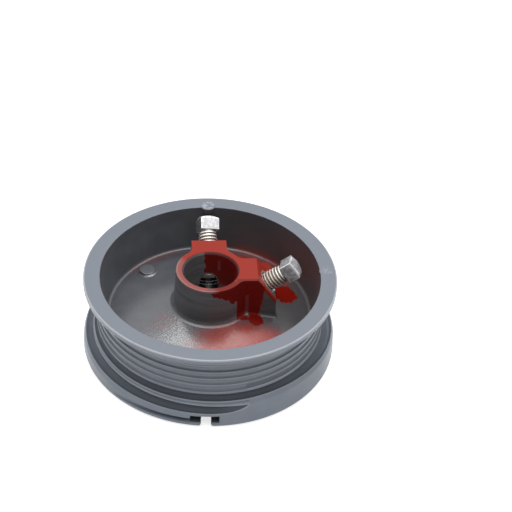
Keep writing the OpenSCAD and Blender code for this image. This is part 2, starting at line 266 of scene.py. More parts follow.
def screw_axis(lug):
    """Puts what stands along +Z on a screw's axis, with Z = 0 at the lug's face."""
    tilt = Matrix.Rotation(math.pi / 2 - SCREW_TILT, 4, "Y")
    return about_z(LUG_ANGLES[lug]) @ Matrix.Translation((MOUTH_R, 0, MOUTH_Z)) @ tilt


def join(name, objs):
    """One mesh from several objects, which it deletes."""
    bm = bmesh.new()
    for o in objs:
        bm.from_mesh(o.data)
        bpy.data.objects.remove(o)
    mesh = bpy.data.meshes.new(name)
    bm.to_mesh(mesh)
    bm.free()
    return mesh


# Grooved body, rim, cup and web

def run_in_share(u):
    return 1 - smooth((u - RUN_IN[0]) / (RUN_IN[1] - RUN_IN[0]))


def spiral_share(u):
    return np.exp(-np.maximum(0, u) / SPIRAL_TURNS)


def ridge(u):
    """Upper edge (r, z) of the ridge above the groove after u turns."""
    r = mix(BODY_R + FIRST_RIDGE_RISE * spiral_share(u), CREST_R, run_in_share(u))
    z = FIRST_RIDGE_Z + GROOVE_LEAD * u + CREST_CLIMB * np.minimum(0, u)
    return np.stack([r, z], -1)


def lip(u):
    """Lower edge of the same ridge, at the foot of its bevel."""
    bevel = mix(FIRST_BEVEL * np.exp(-np.maximum(0, u) / BEVEL_TURNS), CREST_BEVEL, run_in_share(u))
    land = mix(FINE_LAND, FIRST_LAND, spiral_share(u))
    return ridge(u) + np.stack([bevel, -land], -1)


def groove_depth(u):
    full = mix(FINE_DEPTH, FIRST_DEPTH, spiral_share(u - 1))
    return full * smooth(u / DEEPENING_TURNS) * (1 - smooth((u - GROOVE_TURNS) / CLOSING_TURNS + 1))


def groove_rows(u):
    """Rows across the groove after u turns, from the ridge below it to the lip above it."""
    opened = 1 - (1 - TIP_SHARE) * np.exp(-u / OPENING_TURNS)
    high = lip(u)
    low = mix(high, ridge(u - 1), opened[:, None])
    along = high - low
    inward = np.stack([-along[:, 1], along[:, 0]], -1) / np.linalg.norm(along, axis=1)[:, None]
    rows = []
    for t in np.linspace(0, 1, GROOVE_STEPS):
        share = 1 - abs(2 * t - 1) ** GROOVE_SQUARENESS
        rows.append(low + along * t + inward * (groove_depth(u) * share)[:, None])
    return rows


def round_rows(rows, corners, reach):
    """Each corner row becomes three, so that the edge is round; rounds of two corners never meet."""
    most = 0.4
    out = []
    for i, row in enumerate(rows):
        if i not in corners:
            out.append(row)
            continue
        ends = []
        for other in (rows[i - 1], rows[i + 1]):
            step = other - row
            length = np.maximum(np.linalg.norm(step, axis=1), 1e-6)[:, None]
            ends.append(row + step * np.minimum(most, reach / length))
        out += [ends[0], (ends[0] + ends[1]) / 4 + row / 2, ends[1]]
    return out


def ring_section():
    """The drum's section from the underside of the rim, over the cup and the hollow below, to the flange.

    Between the web and the bore it runs hidden inside the hub.
    """
    web_in = (BORE_R + 2, web_z(BORE_R + 2) - 1)
    corners = [
        ((RIM_R, RIM_TOP - RIM_T), RIM_ROUND),
        ((RIM_R, RIM_TOP), RIM_ROUND),
        ((CUP_MOUTH_R, RIM_TOP), MOUTH_ROUND),
        ((CUP_FLOOR_R, WEB_EDGE_Z), CUP_ROUND),
        ((HUB_WEB_R, web_z(HUB_WEB_R)), 0),
        (web_in, 0),
        ((BORE_R + 0.05, web_in[1] - 1.5), 0),
        ((BORE_R, web_in[1] - 3), 0),
        ((BORE_R, BORE_CHAMFER), 0),
        ((BORE_R + BORE_CHAMFER, 0), 0),
        ((HUB_TOP_R, 0), EDGE_ROUND),
        ((HUB_WEB_R, web_z(HUB_WEB_R) - WEB_T), HUB_ROUND),
        ((SKIRT_TOP_R, web_z(SKIRT_TOP_R) - WEB_T), CUP_ROUND),
        ((SKIRT_R, 0), EDGE_ROUND),
    ]
    points = [(BODY_R + RIM_FLARE, RIM_TOP - RIM_T)] + [p for p, r in corners]
    points.append((FLANGE_R - FLANGE_ROUND, 0))
    return rounded(points, [0] + [r for p, r in corners] + [0])[1:-1]


def grooved_drum():
    """Skin of the drum without its hub: rows climb by one turn of the groove at the seam."""
    s = np.arange(COLUMNS) / COLUMNS

    def ring(p):
        return np.tile(np.array(p, float), (COLUMNS, 1))

    rows = [ring(p) for p in arc((FLANGE_R - FLANGE_ROUND, FLANGE_ROUND), FLANGE_ROUND, -90, 0, 7)]
    first = len(rows)
    corners = [first]
    crest_foot = lip(s - 1)
    crest_foot[:, 0] -= CREST_FADE[0] * (1 - smooth(s / CREST_FADE[1]))
    rows.append(crest_foot)
    for k in range(GROOVE_TURNS):
        turn = groove_rows(k + s)
        corners += [len(rows), len(rows) + GROOVE_STEPS - 1]
        rows += turn
    flare_centre = (BODY_R + RIM_FLARE, RIM_TOP - RIM_T - RIM_FLARE)
    rows += [ring(p) for p in arc(flare_centre, RIM_FLARE, 180, 90, 5)]
    rows += [ring(p) for p in ring_section()]
    rows = round_rows(rows, corners, RIDGE_ROUND)
    per_turn = GROOVE_STEPS + 4
    last = first + 2 + per_turn * GROOVE_TURNS
    n = len(rows)

    angle = np.radians(GROOVE_START) - 2 * math.pi * s
    grid = np.stack(rows, 1)
    points = np.stack([
        grid[:, :, 0] * np.cos(angle)[:, None],
        grid[:, :, 0] * np.sin(angle)[:, None],
        grid[:, :, 1],
    ], -1).reshape(-1, 3)

    def next_row(i):
        return i if i < first else min(i + per_turn, max(i, last + 1))

    faces = []
    for j in range(COLUMNS - 1):
        for i in range(n):
            a, b, m = j * n, (j + 1) * n, (i + 1) % n
            faces.append((a + i, b + i, b + m, a + m))
    seam = (COLUMNS - 1) * n
    for i in range(n):
        at, to = next_row(i), next_row((i + 1) % n)
        faces.append((seam + i, to, seam + (i + 1) % n))
        faces += [(seam + i, k - 1, k) for k in range(at + 1, to + 1)]
        if i == n - 1:
            faces.append((seam + i, at, to))
    obj = new_object("drum_skin", points, faces, sharp=38)
    merge_close(obj)
    return obj


def slot_cutters():
    """The cable slot, the pockets beside it, and the lead-in that runs into the left one."""
    half = SLOT_W / 2
    far = FLANGE_R + CUT
    left = arc((-half - SLOT_ROUND, SLOT_ROUND), SLOT_ROUND, -90, 0, 7)
    right = [(-x, z) for x, z in reversed(left)]
    mouth = left[0][0]
    outline = [(mouth, -CUT)] + left + [(-half, SLOT_H), (half, SLOT_H)] + right + [(-mouth, -CUT)]
    slot = prism("slot", outline, SKIRT_TOP_R - CUT, far)
    place(slot, Matrix.Rotation(math.pi / 2, 4, "X"))
    low, high = -half - EXIT_POCKET_W, half + POCKET_W
    floor_y = POCKET_DEPTH - FLANGE_R
    plan = [(low, -far), (high, -far), (high, floor_y), (low, floor_y)]
    pocket = prism("pocket", plan, POCKET_LIP, SLOT_H)
    inner = arc((-LEAD_IN_SHIFT, 0), FLANGE_R - POCKET_DEPTH, 270, 200, 40)
    outer = arc((0, 0), far, 200, 270, 40)
    inner[0] = (0, inner[0][1])
    lead_in = prism("lead_in", inner + outer, POCKET_LIP + LEAD_IN_STEP, POCKET_LIP + LEAD_IN_H)
    turn = about_z(SLOT_ANGLE + 90)
    for cutter in (slot, pocket, lead_in):
        place(cutter, turn)
        merge_close(cutter)
    return slot, pocket, lead_in


# Hub with its lugs

def lug_side(hub_r, grow):
    """Plan of one side of the lug along +X, from its end to the hub."""
    half, reach, fillet = LUG_W / 2 + grow, LUG_REACH + grow, LUG_ROUND - grow
    cx = math.sqrt((hub_r + fillet) ** 2 - (half + fillet) ** 2)
    meets = math.degrees(math.atan2(half + fillet, cx))
    return [(reach, half)] + arc((cx, half + fillet), fillet, 270, 180 + meets, 10), meets


def hub_plan(hub_r, grow=0.0):
    """Plan of the hub and both lugs."""
    side, meets = lug_side(hub_r, grow)
    other = [(x, -y) for x, y in reversed(side)]
    between = arc((0, 0), hub_r, meets, 90 - meets, 14)[1:-1]
    around = arc((0, 0), hub_r, 90 + meets, 360 - meets, 110)[1:-1]
    rear = [(-y, x) for x, y in other + side]
    return other + side + between + rear + around


def hub_with_lugs():
    """Tapered hub whose wall and lugs meet the web in a fillet, with its bore and tapped holes."""
    wall_z = web_z(HUB_WEB_R) + LUG_FOOT_ROUND
    rows = []
    for z in np.linspace(HUB_TOP, wall_z, 4):
        hub_r = mix(HUB_TOP_R, HUB_WEB_R, (HUB_TOP - z) / (HUB_TOP - web_z(HUB_WEB_R)))
        rows.append([(x, y, z) for x, y in hub_plan(hub_r)])
    for a in np.linspace(0, 90, 6):
        h = LUG_FOOT_ROUND * (1 - math.sin(math.radians(a)))
        grow = LUG_FOOT_ROUND * (1 - math.cos(math.radians(a)))
        rows.append([(x, y, web_z(math.hypot(x, y)) + h) for x, y in hub_plan(HUB_WEB_R + grow, grow)])
    rows.append([(x, y, z - WEB_T / 2) for x, y, z in rows[-1]])
    n = len(rows[0])
    points = [p for row in rows for p in row] + [(0, 0, web_z(HUB_WEB_R) - WEB_T / 2)]
    faces = [tuple(range(n))]
    for k in range(len(rows) - 1):
        for i in range(n):
            m = (i + 1) % n
            faces.append((k * n + i, (k + 1) * n + i, (k + 1) * n + m, k * n + m))
    foot = (len(rows) - 1) * n
    faces += [(foot + i, len(points) - 1, foot + (i + 1) % n) for i in range(n)]
    obj = new_object("hub", points, faces)
    merge_close(obj)
    slope_lugs(obj)
    bore = revolve("bore", [
        (0, -CUT), (BORE_R, -CUT), (BORE_R, HUB_TOP - BORE_CHAMFER),
        (BORE_R + BORE_CHAMFER + 2, HUB_TOP + 2), (0, HUB_TOP + 2),
    ], 128)
    subtract(obj, bore, *[tapped_hole(lug) for lug in LUG_ANGLES])
    return obj


def slope_lugs(obj):
    """Cuts the lugs' ends at right angles to the screws, then rounds the sharp edges above the web."""
    bm = bmesh.new()
    bm.from_mesh(obj.data)
    for lug in LUG_ANGLES:
        axis = screw_axis(lug)
        cut = bmesh.ops.bisect_plane(
            bm, geom=bm.verts[:] + bm.edges[:] + bm.faces[:], dist=1e-7,
            plane_co=axis.translation * MM, plane_no=axis.col[2].xyz, clear_outer=True)
        edges = [e for e in cut["geom_cut"] if isinstance(e, bmesh.types.BMEdge)]
        bmesh.ops.edgeloop_fill(bm, edges=edges)
    bmesh.ops.recalc_face_normals(bm, faces=bm.faces)
    low = (web_z(LUG_REACH) + LUG_FOOT_ROUND * 1.5) * MM
    sharp = [e for e in bm.edges
             if len(e.link_faces) == 2 and e.calc_face_angle() > math.radians(30)
             and max(v.co.z for v in e.verts) > low]
    bmesh.ops.bevel(bm, geom=sharp, offset=EDGE_ROUND * MM, segments=3, profile=0.5,
                    affect="EDGES", clamp_overlap=True)
    bm.to_mesh(obj.data)
    bm.free()


def tapped_hole(lug):
    """Cutter from a lug's face, with its chamfer, into the bore."""
    length = (MOUTH_R - BORE_R) / math.cos(SCREW_TILT) + HOLE_R
    hole = revolve("hole", [
        (0, -length), (HOLE_R, -length), (HOLE_R, -MOUTH_CHAMFER),
        (HOLE_R + MOUTH_CHAMFER + CUT, CUT), (0, CUT),
    ], 64)
    return place(hole, screw_axis(lug))


# Ejector pads

def pad(section, at, angle, stand=Matrix()):
    obj = revolve("pad", section, 48)
    return place(obj, about_z(angle) @ Matrix.Translation((at, 0, 0)) @ stand)


def pads():
    """Flats of the ejector pins: four on the web, with feet that slope to it, and two in the rim."""
    at, angle = WEB_PAD_AT
    on_web = Matrix.Translation((0, 0, web_z(at)))
    along_web = on_web @ Matrix.Rotation(math.atan(WEB_SLOPE), 4, "Y")
    low, waist = -WEB_T / 2, WEB_PAD_R - WEB_PAD_INSET
    disc = [(0, WEB_PAD_H), (WEB_PAD_R, WEB_PAD_H), (WEB_PAD_R, low), (0, low)]
    disc = rounded(disc, [0, WEB_PAD_ROUND, 0, 0], 4)
    rise = (WEB_PAD_FOOT - waist) * math.tan(WEB_PAD_SLOPE)
    foot = [(0, rise), (waist, rise), (WEB_PAD_FOOT, 0), (WEB_PAD_FOOT, low), (0, low)]
    web = []
    for k in range(4):
        web += [pad(disc, at, angle + 90 * k, on_web), pad(foot, at, angle + 90 * k, along_web)]
    top, low = RIM_TOP + RIM_PAD_H, RIM_TOP - RIM_T + RIM_PAD_LIFT
    section = [(0, top), (RIM_PAD_R, top), (RIM_PAD_R, low), (0, low)]
    section = rounded(section, [0, RIM_PAD_ROUND, RIM_PAD_ROUND, 0], 4)
    rim = [pad(section, CUP_MOUTH_R - bulge + RIM_PAD_R, a) for a, bulge in RIM_PADS]
    return web + rim


# Setscrews

def thread(low, high):
    """Helical thread between two heights, run out under the head and chamfered at the point.

    The profile is the thread's height at each step of one pitch.
    """
    columns, per_pitch = 64, 12
    profile = np.array([0, 0.3, 0.75, 1, 1, 1, 0.75, 0.3, 0, 0, 0, 0])
    rows = int((high - low) / THREAD_PITCH + 2) * per_pitch
    points = []
    for j in range(columns):
        a = 2 * math.pi * j / columns
        for i in range(rows):
            z = low - THREAD_PITCH + THREAD_PITCH * (i / per_pitch + j / columns)
            z = min(max(z, low), high)
            r = SCREW_R - THREAD_DEPTH * (1 - profile[i % per_pitch])
            run_out = SCREW_R - RUN_OUT_SLOPE * max(0.0, z - high + RUN_OUT_L)
            r = min(r, run_out, SCREW_R - POINT_CHAMFER + (z - low))
            r = SCREW_R - THREAD_DEPTH if z == high else r
            points.append((r * math.cos(a), r * math.sin(a), z))
    faces = []
    for j in range(columns):
        k = (j + 1) % columns
        shift = per_pitch if k == 0 else 0
        for i in range(rows - 1):
            near, far = min(i + shift, rows - 1), min(i + 1 + shift, rows - 1)
            faces.append((j * rows + i, k * rows + near, k * rows + far, j * rows + i + 1))
    faces.append(tuple(j * rows for j in range(columns - 1, -1, -1)))
    faces.append(tuple(j * rows + rows - 1 for j in range(columns)))
    obj = new_object("thread", points, faces, sharp=50)
    merge_close(obj, 1e-3)
    return obj


def head(spin, low):
    """Square head with a chamfered, slightly rounded end."""
    half = HEAD_W / 2
    flat = half - HEAD_CORNER
    quarter = arc((flat, flat), HEAD_CORNER, 0, 90, 5)
    along = [(x, half) for x in np.linspace(flat, -flat, 9)[1:-1]]
    outline = []
    for k in range(4):
        turn = about_z(90 * k)
        outline += [tuple((turn @ Vector((x, y, 0))).xy) for x, y in quarter + along]
    crown_r = half - CROWN_INSET
    chamfer = HEAD_CHAMFER / (half * math.sqrt(2) - crown_r)

    def circle(r, z):
        return [(r * x / math.hypot(x, y), r * y / math.hypot(x, y), z) for x, y in outline]

    def square(inset, z, drop):
        scale = 1 - inset / half
        return [(x * scale, y * scale, z - max(0, math.hypot(x, y) - crown_r) * drop) for x, y in outline]

    rows = [circle(NECK_R, 0)]
    rows += [square(inset, up, 0) for inset, up in HEAD_FOOT]
    rows += [square(inset, HEAD_H - down, chamfer) for inset, down in HEAD_END]
    rows += [circle(crown_r, HEAD_H - CROWN_DROP), circle(crown_r - CROWN_ROUND, HEAD_H)]
    n = len(outline)
    points = [p for row in rows for p in row]
    faces = [tuple(range(n - 1, -1, -1)), tuple(range(len(points) - n, len(points)))]
    for k in range(len(rows) - 1):
        for i in range(n):
            m = (i + 1) % n
            faces.append((k * n + i, k * n + m, (k + 1) * n + m, (k + 1) * n + i))
    obj = new_object("head", points, faces, sharp=40)
    return place(obj, Matrix.Translation((0, 0, low)) @ about_z(spin))


def screw_point(lug):
    """Height of a screw's point along its axis."""
    reach = (MOUTH_R - BORE_R) / math.cos(SCREW_TILT)
    inside = reach - (SCREW_R - POINT_CHAMFER) * math.tan(SCREW_TILT) - POINT_GAP
    return SCREW_OUT[lug] - min(SCREW_OUT.values()) - inside


def setscrew(lug):
    out, low = SCREW_OUT[lug], screw_point(lug)
    name = lug + "_setscrew_dressed"
    foot, top = out - NECK_L - NECK_OVERLAP, out + NECK_OVERLAP
    neck = revolve("neck", [(0, foot), (NECK_R, foot), (NECK_R, top), (0, top)], 48)
    mesh = join(name, [thread(low, out - NECK_L), neck, head(SCREW_SPIN[lug], out)])
    obj = place(link_mesh(name, mesh, sharp=40), screw_axis(lug))
    flatten_shading(obj)
    return obj


# Materials

class Field:
    """A number that varies over a surface. Arithmetic on it adds nodes to its tree."""

    def __init__(self, tree, socket):
        self.tree, self.socket = tree, socket

    def math(self, operation, *others):
        made = self.tree.nodes.new("ShaderNodeMath")
        made.operation = operation
        for socket, value in zip(made.inputs, (self,) + others):
            feed(self.tree, socket, value)
        return Field(self.tree, made.outputs[0])

    def __add__(self, other):
        return self.math("ADD", other)

    def __sub__(self, other):
        return self.math("SUBTRACT", other)

    def __mul__(self, other):
        return self.math("MULTIPLY", other)

    def lowest(self, other):
        return self.math("MINIMUM", other)

    def highest(self, other):
        return self.math("MAXIMUM", other)

    def between(self, low, high):
        """0 below low, 1 above high and smooth between; falls instead if low is above high."""
        made = self.tree.nodes.new("ShaderNodeMapRange")
        made.interpolation_type = "SMOOTHSTEP"
        made.clamp = True
        ends = (low, high, 0.0, 1.0) if high > low else (high, low, 1.0, 0.0)
        for name, value in zip(("From Min", "From Max", "To Min", "To Max"), ends):
            made.inputs[name].default_value = value
        feed(self.tree, made.inputs["Value"], self)
        return Field(self.tree, made.outputs["Result"])

    def near(self, value, far, close):
        """1 where it is close to a value, 0 where it is far from it."""
        return (self - value).math("ABSOLUTE").between(far, close)

    def inverse(self):
        return self * -1 + 1


def feed(tree, socket, value):
    """Links a field to a socket, or sets the socket to a number."""
    if isinstance(value, Field):
        tree.links.new(value.socket, socket)
    else:
        socket.default_value = value


class Surface:
    """A Principled material with fields of place: x, y, z and r in millimetres, angle in degrees."""

    def __init__(self, name):
        self.material = bpy.data.materials.new(name)
        self.material.use_nodes = True
        self.tree = self.material.node_tree
        self.shader = self.tree.nodes["Principled BSDF"]
        self.place = self.tree.nodes.new("ShaderNodeTexCoord").outputs["Object"]
        parts = self.tree.nodes.new("ShaderNodeSeparateXYZ")
        self.tree.links.new(self.place, parts.inputs[0])
        self.x, self.y, self.z = (Field(self.tree, s) * (1 / MM) for s in parts.outputs)
        self.r = (self.x * self.x + self.y * self.y).math("SQRT")
        self.angle = self.y.math("ARCTAN2", self.x) * math.degrees(1)
        facing = self.tree.nodes.new("ShaderNodeSeparateXYZ")
        geometry = self.tree.nodes.new("ShaderNodeNewGeometry")
        self.tree.links.new(geometry.outputs["True Normal"], facing.inputs[0])
        self.up = Field(self.tree, facing.outputs[2])

    def noise(self, size, detail=2.0, roughness=0.5, stretch=(1, 1, 1)):
        """Noise whose lumps are about this many millimetres across."""
        mapping = self.tree.nodes.new("ShaderNodeMapping")
        mapping.inputs["Scale"].default_value = stretch
        self.tree.links.new(self.place, mapping.inputs["Vector"])
        made = self.tree.nodes.new("ShaderNodeTexNoise")
        self.tree.links.new(mapping.outputs[0], made.inputs["Vector"])
        made.inputs["Scale"].default_value = 1 / (size * MM)
        made.inputs["Detail"].default_value = detail
        made.inputs["Roughness"].default_value = roughness
        return Field(self.tree, made.outputs["Fac"])

    def blend(self, a, b, share):
        """Colour a, turned to colour b by a share."""
        made = self.tree.nodes.new("ShaderNodeMix")
        made.data_type = "RGBA"
        feed(self.tree, made.inputs[0], share)
        for socket, colour in ((made.inputs[6], a), (made.inputs[7], b)):
            if isinstance(colour, Field):
                feed(self.tree, socket, colour)
            else:
                socket.default_value = (*colour, 1)
        return Field(self.tree, made.outputs[2])

    def spot(self, at, size, ragged, soft=0.06):
        """An oval patch, seen from above, whose edge a field makes ragged."""
        across, along = (self.x - at[0]) * (1 / size[0]), (self.y - at[1]) * (1 / size[1])
        out = (across * across + along * along).math("SQRT")
        return (out + ragged).between(1 + soft, 1 - soft)

    def bump(self, height, depth):
        made = self.tree.nodes.new("ShaderNodeBump")
        made.inputs["Distance"].default_value = depth * MM
        feed(self.tree, made.inputs["Height"], height)
        self.tree.links.new(made.outputs[0], self.shader.inputs["Normal"])

    def set(self, **inputs):
        for name, value in inputs.items():
            feed(self.tree, self.shader.inputs[name.replace("_", " ")], value)


def screw_depth(s, along):
    """Depth along a screw's axis, 0 at its lug's face and more outside, from the distance along the lug."""
    return (along - MOUTH_R) * math.cos(SCREW_TILT) + (s.z - MOUTH_Z) * math.sin(SCREW_TILT)


def along_screw(s, lug):
    """A screw's own coordinates at a place: depth along its axis, rise, sideways and radius."""
    along, aside = (s.x, s.y) if lug == "side" else (s.y, s.x * -1)
    rise = (s.z - MOUTH_Z) * math.cos(SCREW_TILT) - (along - MOUTH_R) * math.sin(SCREW_TILT)
    return screw_depth(s, along), rise, aside, (rise * rise + aside * aside).math("SQRT")


def paint_runs(s, ragged, fine):
    """Paint that ran down the front of the hub and of the side lug."""
    drip = s.noise(3.4, 1, stretch=(1, 1, 0.12)) - 0.5
    hub_front = s.angle.between(-101, -97) * s.angle.between(-36, -40)
    hub_front = hub_front * s.r.between(HUB_WEB_R + 0.8, HUB_WEB_R + 0.4)
    hub_runs = hub_front * (s.z + s.angle * 0.184 - 26.2 + drip * 9 + fine * 1.5).between(-0.25, 0.25)

    face = -LUG_W / 2
    lug_front = s.y.between(face + 1.9, face + 1.1) * s.z.between(23.0, 23.5) * s.r.between(29.5, 28.5)
    not_web = s.y.between(face - 1.5, face - 1.1).highest(s.r.between(HUB_WEB_R + 1.4, HUB_WEB_R + 1.0))
    right = (s.x - s.z * 0.137 + drip * 3 + fine * 1.4).between(20.5, 19.9)
    head = (s.z + ragged * 3).between(36.0, 36.5) * s.x.between(11.6, 12.6)
    first = (s.x + fine * 1.2).between(12.1, 12.6) * (s.x + fine * 1.2).between(16.9, 16.5)
    second = (s.x + fine * 0.8).between(18.0, 18.4)
    thin = s.x.between(15, 16) * s.z.between(25, 27) * 0.55
    lug_runs = lug_front * not_web * right * head.highest(first).highest(second).highest(thin)
    return hub_runs.highest(lug_runs)


def spilled_paint(s, ragged, fine):
    """Puddles under the runs of the hub and the lug, and a blob behind the lug."""
    hub_puddle = s.spot((15.3, -11.8), (2.9, 1.7), fine * 0.5)
    lug_puddle = s.spot((21.8, -12.2), (3.7, 4.0), fine * 0.6)
    blob = s.spot((37.6, 9.8), (5.8, 6.7), ragged * 0.5 + fine * 0.9, 0.03)
    return hub_puddle.highest(lug_puddle).highest(blob)


def bore_paint(s, ragged):
    """Paint on the right of the bore, with one thin streak in it."""
    bore = s.r.between(*RED_EDGE[::-1]) * s.z.between(22, 28)
    kept = (s.angle + ragged * 26).between(100, 97) * s.angle.between(-95, -75)
    streak = s.angle.near(68.5, 4.5, 1.5) * s.z.near(37.5, 4, 1.5)
    return bore * kept * (streak * -0.5 + 1)


def painted_end(s, along, across, ragged, fine):
    """The sloped end of a lug: red above, and along its front edge."""
    face = screw_depth(s, along).between(-1.5, -1.1) * across.math("ABSOLUTE").between(9.2, 9.0)
    face = face * along.between(20.5, 21.5) * along.between(LUG_REACH + 1.6, LUG_REACH + 0.6)
    edge = (across + fine).between(-LUG_W / 2 + 1.9, -LUG_W / 2 + 1.3)
    return face * (s.z + ragged * 5).between(37.0, 38.0).highest(edge)


def overspray(s, on_web, ragged, fine):
    """Haze behind the hub and in the cup's corners, mist on the web, and a tint on the cup's wall."""
    behind = s.angle.between(21, 34) * s.angle.between(84, 74) * s.z.between(44, 43) * s.r.between(49.5, 44)
    corner = s.angle.between(28, 45) * s.angle.between(80, 66) * s.r.between(44, 48) * s.z.between(24.5, 20)
    left_corner = s.angle.between(100, 112) * s.angle.between(150, 130) * s.z.between(23, 20)
    left_corner = left_corner * s.r.between(43, 48) * s.r.between(50.2, 49.0)
    haze = behind.highest(corner.highest(left_corner * 0.5) * 0.55)
    haze = haze * (ragged * 1.6 + fine + 0.75).between(0.2, 0.8) * s.up.between(-0.5, -0.2)
    haze = haze * s.r.between(CUP_MOUTH_R + 0.2, CUP_MOUTH_R - 0.2) * s.z.between(16, 17.5)

    speck = s.noise(0.8, 3) - 0.5
    mist = s.spot((16, -30), (24, 15), ragged * 0.3, 0.9) + speck * 0.7
    far_mist = s.spot((-22, -13), (12, 10), ragged * 0.4, 0.9) * 0.6 + speck * 1.6
    mist = (mist.between(0.2, 0.85) * 0.95).highest(far_mist.between(0.5, 0.9) * 0.5)

    wall = s.r.between(CUP_FLOOR_R - 1.5, CUP_FLOOR_R) * s.r.between(CUP_MOUTH_R + 0.5, CUP_MOUTH_R)
    wall = wall * s.z.between(16, 17) * s.z.between(RIM_TOP - 0.2, RIM_TOP - 0.8)
    tint = wall * s.angle.near(5, 55, 20)
    return (haze * 0.85).highest(on_web * mist).highest(tint * 0.08)


def red_share(s, on_web):
    """Shares of red: on the hub's top, in runs and puddles, in all solid paint, and with its overspray."""
    ragged, fine = s.noise(3.2, 2) - 0.5, s.noise(1.1, 3) - 0.5
    top = s.z.between(HUB_TOP - 1.15, HUB_TOP - 0.8) * s.r.between(*RED_EDGE)
    runs = paint_runs(s, ragged, fine).highest(on_web * spilled_paint(s, ragged, fine))
    runs = runs.highest(bore_paint(s, ragged))
    ends = painted_end(s, s.x, s.y, ragged, fine).highest(painted_end(s, s.y, s.x, ragged, fine) * 0.8)
    solid = top.highest(ends).highest(runs)
    return top, runs, solid, solid.highest(overspray(s, on_web, ragged, fine))


def bare_ring(s):
    """The side lug's bright chamfer round its screw."""
    depth, _, _, radius = along_screw(s, "side")
    edge = HOLE_R + MOUTH_CHAMFER
    return radius.between(edge + 0.4, edge + 0.1) * depth.between(-1.6, -1.2) * s.x.between(18, 20)


def tapped_wall(s):
    """Painted shade on the walls of the tapped holes, and painted highlights for the crests of their
    threads.
    """
    walls = []
    for lug in LUG_ANGLES:
        depth, _, _, radius = along_screw(s, lug)
        wall = radius.between(HOLE_R + 0.2, HOLE_R + 0.1) * depth.between(-24, -23)
        wall = wall * depth.between(-MOUTH_CHAMFER - 0.2, -MOUTH_CHAMFER - 0.4)
        crests = (depth * (2 * math.pi / THREAD_PITCH)).math("SINE").between(0.3, 0.8)
        walls.append((wall, crests * depth.between(-20, -18)))
    side, rear = walls
    return side[0].highest(rear[0]), side[0] * side[1] + rear[0] * rear[1]


def groove_shade_and_highlights(s):
    """Painted shade on the floors of the cable groove, painted highlights on the edges beside them, and
    painted shadow in the slot's pockets.

    Edges of the first turns follow the same spiral as the mesh.
    """
    share = ((s.angle - GROOVE_START) * (-1 / 360)).math("FRACT")
    height = s.z - share * GROOVE_LEAD
    spiral = (share * (-1 / SPIRAL_TURNS)).math("EXPONENT")
    opened = (share * (-1 / OPENING_TURNS)).math("EXPONENT") * (TIP_SHARE - 1) + 1
    ridge_r = spiral * FIRST_RIDGE_RISE + BODY_R
    lip_r = (share * (-1 / BEVEL_TURNS)).math("EXPONENT") * FIRST_BEVEL + ridge_r
    land = spiral * (FIRST_LAND - FINE_LAND)
    lip_h = land * -1 + (FIRST_RIDGE_Z - FINE_LAND)
    next_lip_h = land * -math.exp(-1 / SPIRAL_TURNS) + (FIRST_RIDGE_Z + GROOVE_LEAD - FINE_LAND)
    crest_r = share.between(RUN_IN[0] + 1, RUN_IN[1] + 1) * (BODY_R + FIRST_RIDGE_RISE - CREST_R) + CREST_R
    crest_h = share * CREST_CLIMB + (FIRST_RIDGE_Z - GROOVE_LEAD - CREST_CLIMB)
    low_r, low_h = lip_r + opened * (crest_r - lip_r), lip_h + opened * (crest_h - lip_h)

    def floor(edge_r, edge_h, top_h):
        within = (s.r - edge_r).between(-0.1, -0.35) * (height - edge_h).between(-0.8, -0.6)
        return within * (height - top_h).between(-0.02, -0.22)

    def edge(r, h):
        return s.r.near(r, 0.42, 0.22) * height.near(h, 0.42, 0.22)

    next_h = FIRST_RIDGE_Z + GROOVE_LEAD
    turn = ((height - next_h) * (1 / GROOVE_LEAD)).math("FRACT")
    finer = height.between(next_h - 0.2, next_h)
    fine = turn.between(0.24, 0.12) * finer
    step = height.near(FIRST_RIDGE_Z - 0.75, 0.28, 0.12) * (s.r - ridge_r).between(0, 0.2)
    second = floor(ridge_r, FIRST_RIDGE_Z, next_lip_h) * (share.between(0.95, 0.4) * 0.5 + 0.5)
    # Painted shade: the groove's floors, a line in each fine turn and a line under the first ridge.
    dark = floor(low_r, low_h, lip_h).highest(second).highest(fine * 0.3).highest(step * 0.5)
    # Painted highlights along the ridges' edges and the fine turns.
    bright = edge(low_r, low_h).highest(edge(ridge_r, FIRST_RIDGE_Z)).highest(edge(lip_r, lip_h))
    bright = bright.highest(turn.between(0.88, 0.96) * finer * 0.5)
    grooved = s.r.between(CUP_MOUTH_R + 0.4, CUP_MOUTH_R + 0.6) * s.z.between(RIM_TOP - 5, RIM_TOP - 6)
    # Painted shadow in the pockets beside the slot.
    around = (s.angle - SLOT_ANGLE) * math.radians(FLANGE_R)
    left, right = -SLOT_W / 2 - EXIT_POCKET_W, SLOT_W / 2 + POCKET_W
    pocket = around.between(left - 0.2, left) * around.between(right + 0.2, right)
    pocket = pocket * s.r.between(SKIRT_R + 0.1, SKIRT_R + 0.3) * s.r.between(60.8, 60.5)
    pocket = pocket * s.z.between(POCKET_LIP - 0.2, POCKET_LIP + 0.1)
    pocket = pocket * s.z.between(SLOT_H + 0.15, SLOT_H + 0.05)
    return grooved * dark, grooved * bright, pocket


